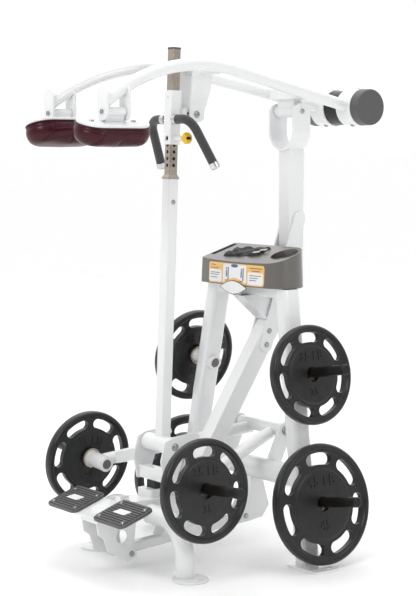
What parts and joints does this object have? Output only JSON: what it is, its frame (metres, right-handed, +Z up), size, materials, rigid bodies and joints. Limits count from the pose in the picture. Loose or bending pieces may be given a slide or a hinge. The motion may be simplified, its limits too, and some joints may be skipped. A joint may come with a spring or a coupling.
{
  "type": "standing calf raise machine",
  "caption": "Plate-loaded standing calf raise machine: shoulder pads on counterweighted arms, an adjustable post and a lever that carries weight plates.",
  "frame": {"origin": "on the floor under the middle of the machine", "axes": "+Z up; the user stands at -Y and faces +Y; the left-right plane of symmetry is X = 0"},
  "size_m": [1.285, 1.44, 1.9166],
  "materials": {
    "white_frame": "gloss powder coat",
    "satin_nickel": "satin nickel plate",
    "bright_chrome": "polished",
    "black_iron": "satin black enamel",
    "black_bar": "satin black",
    "champagne_flange": "anodised",
    "grip_foam": "matte",
    "burgundy_leather": "soft gloss upholstery",
    "console_plastic": "metallic satin",
    "placard": "printed",
    "black_rubber": "matte",
    "grey_cap": "satin",
    "zinc_fastener": "zinc plate",
    "yellow_knob": "gloss"
  },
  "bodies": {
    "root": {"front_legs": "white_frame", "foot_plates": "white_frame", "base_tube": "white_frame", "foot_spine": "white_frame", "platform_plate": "white_frame", "foot_pads": "black_rubber", "pedestal_plates": "white_frame", "frame_bolts": "zinc_fastener", "rear_columns": "white_frame", "rear_cross_tube": "white_frame", "rear_brackets": "white_frame", "pivot_pin": "zinc_fastener", "diagonal_brace": "white_frame", "rear_upright": "white_frame", "splice_plates": "white_frame", "yoke": "white_frame", "console_bracket": "white_frame", "console_housing": "console_plastic", "console_mat": "black_rubber", "console_placard": "placard", "storage_sockets": "white_frame", "storage_flanges": "champagne_flange", "storage_pegs": "black_bar", "lever_bumper": "black_rubber"},
    "lever": {"lever_pivot_tube": "white_frame", "lever_tubes": "white_frame", "lever_side_plates": "white_frame", "lever_crossmember": "white_frame", "lever_horns": "white_frame", "lever_flanges": "champagne_flange", "lever_pegs": "black_bar", "hub_pin": "zinc_fastener"},
    "post": {"post_hub": "white_frame", "post_tube": "white_frame", "chrome_tube": "satin_nickel", "post_cap": "grey_cap"},
    "sleeve": {"height_sleeve": "white_frame", "handle_bars": "bright_chrome", "handle_grips": "grip_foam", "pin_housing": "white_frame"},
    "pull": {"pull_pin": "yellow_knob"},
    "axle": {"yoke_pin": "zinc_fastener"},
    "arms": {"arm_tubes": "white_frame", "arm_crossmember": "white_frame", "hanger": "white_frame", "arm_ears": "white_frame", "arm_bolts": "zinc_fastener", "counterweight_collars": "white_frame", "counterweight_cylinder": "black_bar", "counterweight_caps": "grey_cap"},
    "pad_left": {"pad_bracket_left": "white_frame", "shoulder_pad_left": "burgundy_leather"},
    "pad_right": {"pad_bracket_right": "white_frame", "shoulder_pad_right": "burgundy_leather"},
    "plate_upper_left": {"upper_plate_left": "black_iron"},
    "plate_upper_right": {"upper_plate_right": "black_iron"},
    "plate_lower_left": {"lower_plate_left": "black_iron"},
    "plate_lower_right": {"lower_plate_right": "black_iron"},
    "plate_lever_left": {"lever_plate_left": "black_iron"},
    "plate_lever_right": {"lever_plate_right": "black_iron"}
  },
  "joints": [
    {"name": "lever_swing", "type": "hinge", "parent": "root", "child": "lever", "pos_m": [0, 0.235, 0.461], "axis": [-1, 0, 0], "range_deg": [0, 12]},
    {"name": "post_swing", "type": "hinge", "parent": "lever", "child": "post", "pos_m": [0, -0.253, 0.443], "axis": [-1, 0, 0], "range_deg": [-12, 0]},
    {"name": "yoke_turn", "type": "hinge", "parent": "root", "child": "axle", "pos_m": [0, 0.369, 1.689], "axis": [-1, 0, 0], "range_deg": [0, 12]},
    {"name": "height_adjust", "type": "slide", "parent": "post", "child": "sleeve", "axis": [0, 0.0401, 0.9992], "range_m": [-0.075, 0.075]},
    {"name": "arm_follow", "type": "hinge", "parent": "axle", "child": "arms", "pos_m": [0, 0.369, 1.689], "axis": [-1, 0, 0], "range_deg": [-8.9, 8.9]},
    {"name": "pull_pin_slide", "type": "slide", "parent": "sleeve", "child": "pull", "axis": [1, 0, 0], "range_m": [0, 0.012], "stiffness_N_per_m": 600},
    {"name": "pad_roll_left", "type": "hinge", "parent": "arms", "child": "pad_left", "pos_m": [-0.177, -0.572, 1.672], "axis": [0, 1, 0], "range_deg": [-15, 15]},
    {"name": "pad_roll_right", "type": "hinge", "parent": "arms", "child": "pad_right", "pos_m": [0.177, -0.572, 1.672], "axis": [0, 1, 0], "range_deg": [-15, 15]},
    {"name": "upper_plate_slide_left", "type": "slide", "parent": "root", "child": "plate_upper_left", "axis": [-0.9848, 0, 0.1736], "range_m": [0, 0.18]},
    {"name": "upper_plate_slide_right", "type": "slide", "parent": "root", "child": "plate_upper_right", "axis": [0.9848, 0, 0.1736], "range_m": [0, 0.18]},
    {"name": "lower_plate_slide_left", "type": "slide", "parent": "root", "child": "plate_lower_left", "axis": [-0.9848, 0, 0.1736], "range_m": [0, 0.18]},
    {"name": "lower_plate_slide_right", "type": "slide", "parent": "root", "child": "plate_lower_right", "axis": [0.9848, 0, 0.1736], "range_m": [0, 0.18]},
    {"name": "lever_plate_slide_left", "type": "slide", "parent": "lever", "child": "plate_lever_left", "axis": [-0.9962, 0, 0.0872], "range_m": [0, 0.18]},
    {"name": "lever_plate_slide_right", "type": "slide", "parent": "lever", "child": "plate_lever_right", "axis": [0.9962, 0, 0.0872], "range_m": [0, 0.18]}
  ],
  "couplings": [
    {"joint": "post_swing", "follows": "lever_swing", "ratio": -1},
    {"joint": "yoke_turn", "follows": "lever_swing", "ratio": 1},
    {"joint": "arm_follow", "follows": "height_adjust", "rad_per_m": 2.0478}
  ]
}
